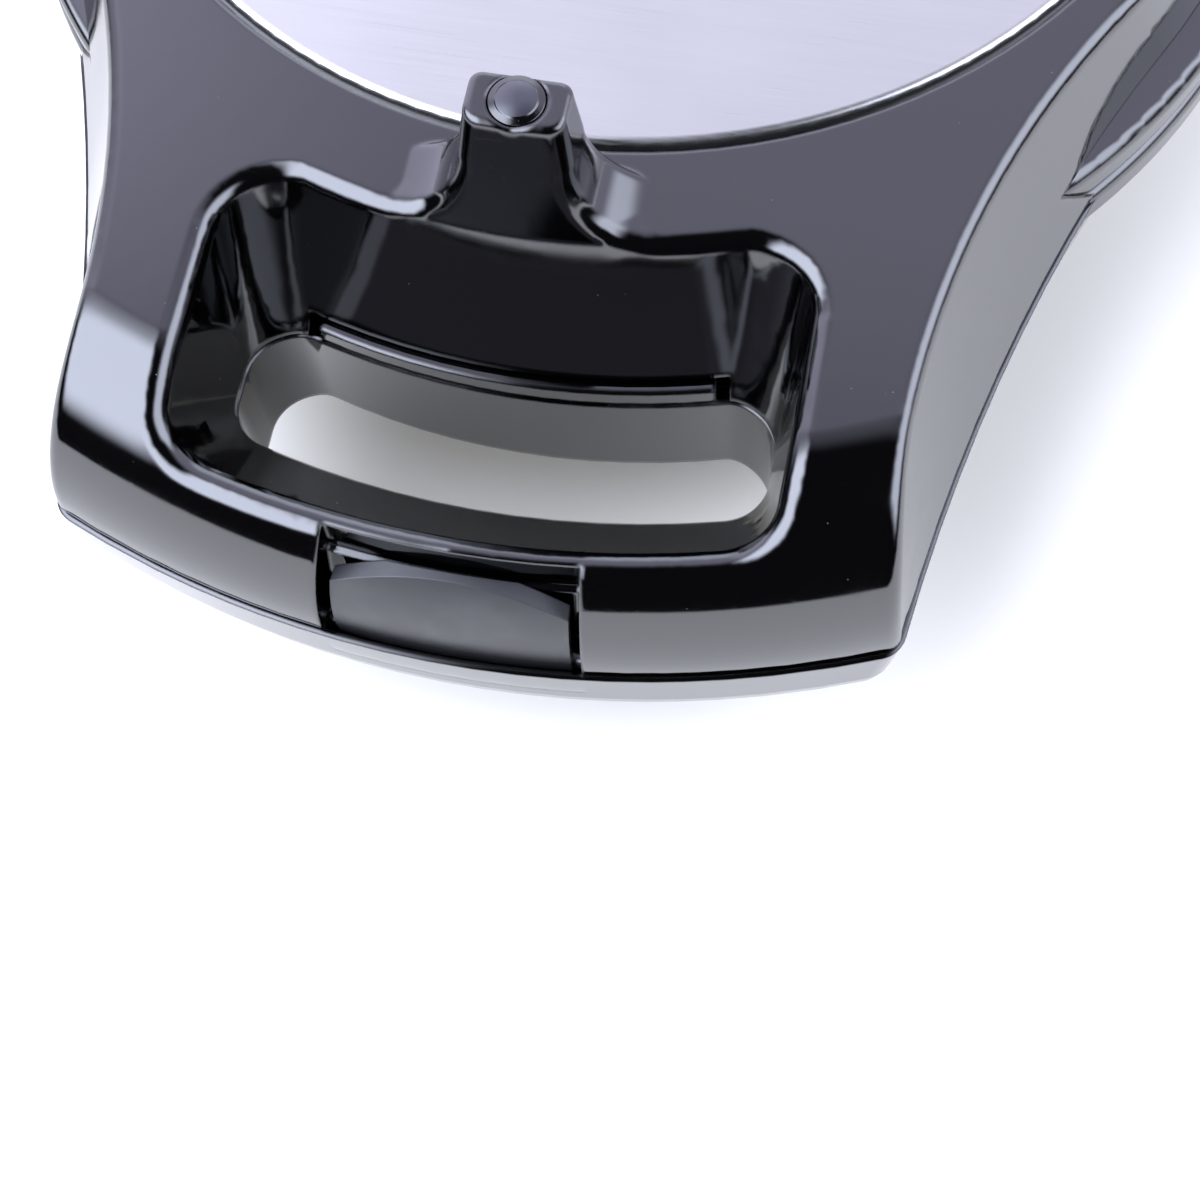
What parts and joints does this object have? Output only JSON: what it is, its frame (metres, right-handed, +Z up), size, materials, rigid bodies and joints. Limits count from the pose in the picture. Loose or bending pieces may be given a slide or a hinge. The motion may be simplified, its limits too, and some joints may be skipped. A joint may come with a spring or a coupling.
{
  "type": "donut maker",
  "caption": "Round table-top donut maker with a hinged lid, ring moulds in both baking plates, a looped handle with a front latch and a steel disc on top.",
  "frame": {"origin": "on the counter, under the middle of the whole object's box", "axes": "+Y from the handle to the hinge, +Z up from the counter, +X to the right when facing the handle"},
  "size_m": [0.2302, 0.3023, 0.0953],
  "materials": {
    "black_shell": "high gloss black moulding",
    "black_ring": "gloss black moulding",
    "steel_disc": "fine brushed stainless sheet",
    "lens": "dark translucent plastic",
    "lamp": "small glass lamp",
    "latch_plastic": "satin grey plastic with a fine grain",
    "baking_plate": "cast aluminium with a dark non-stick coating",
    "heater_sheath": "dull steel sheath",
    "plain_steel": "zinc-plated steel",
    "shield_sheet": "bright thin sheet",
    "thermostat_body": "moulded ceramic-like body",
    "terminal_plastic": "pale moulded block",
    "gland_rubber": "matt black grommet",
    "foot_rubber": "matt dark rubber"
  },
  "bodies": {
    "base": {"base_shell": "black_shell", "base_ring": "black_ring", "lower_plate": "baking_plate", "lower_heater": "heater_sheath", "lower_heater_clamps": "plain_steel", "lower_plate_screws": "plain_steel", "lower_clamp_screws": "plain_steel", "base_screws": "plain_steel", "lower_heat_shield": "shield_sheet", "thermostat": "thermostat_body", "thermostat_bracket": "shield_sheet", "thermal_fuse": "plain_steel", "terminal_block": "terminal_plastic", "cord_gland": "gland_rubber", "foot_left_back": "foot_rubber", "foot_left_front": "foot_rubber", "foot_right_back": "foot_rubber", "foot_right_front": "foot_rubber", "hinge_pin_left": "plain_steel", "hinge_pin_right": "plain_steel", "latch_pin": "plain_steel"},
    "lid": {"lid_shell": "black_shell", "lid_disc": "steel_disc", "indicator_lens": "lens", "indicator_lamp": "lamp", "lid_ring": "black_ring", "upper_plate": "baking_plate", "upper_heater": "heater_sheath", "upper_heater_clamps": "plain_steel", "upper_plate_screws": "plain_steel", "upper_clamp_screws": "plain_steel", "lid_screws": "plain_steel", "upper_heat_shield": "shield_sheet"},
    "latch": {"latch": "latch_plastic"}
  },
  "joints": [
    {"name": "lid_hinge", "type": "hinge", "parent": "base", "child": "lid", "pos_m": [0, 0.14415, 0.0465], "axis": [-1, 0, 0], "range_deg": [0, 100]},
    {"name": "latch_hinge", "type": "hinge", "parent": "base", "child": "latch", "pos_m": [0, -0.14565, 0.0432], "axis": [1, 0, 0], "range_deg": [0, 16]}
  ]
}
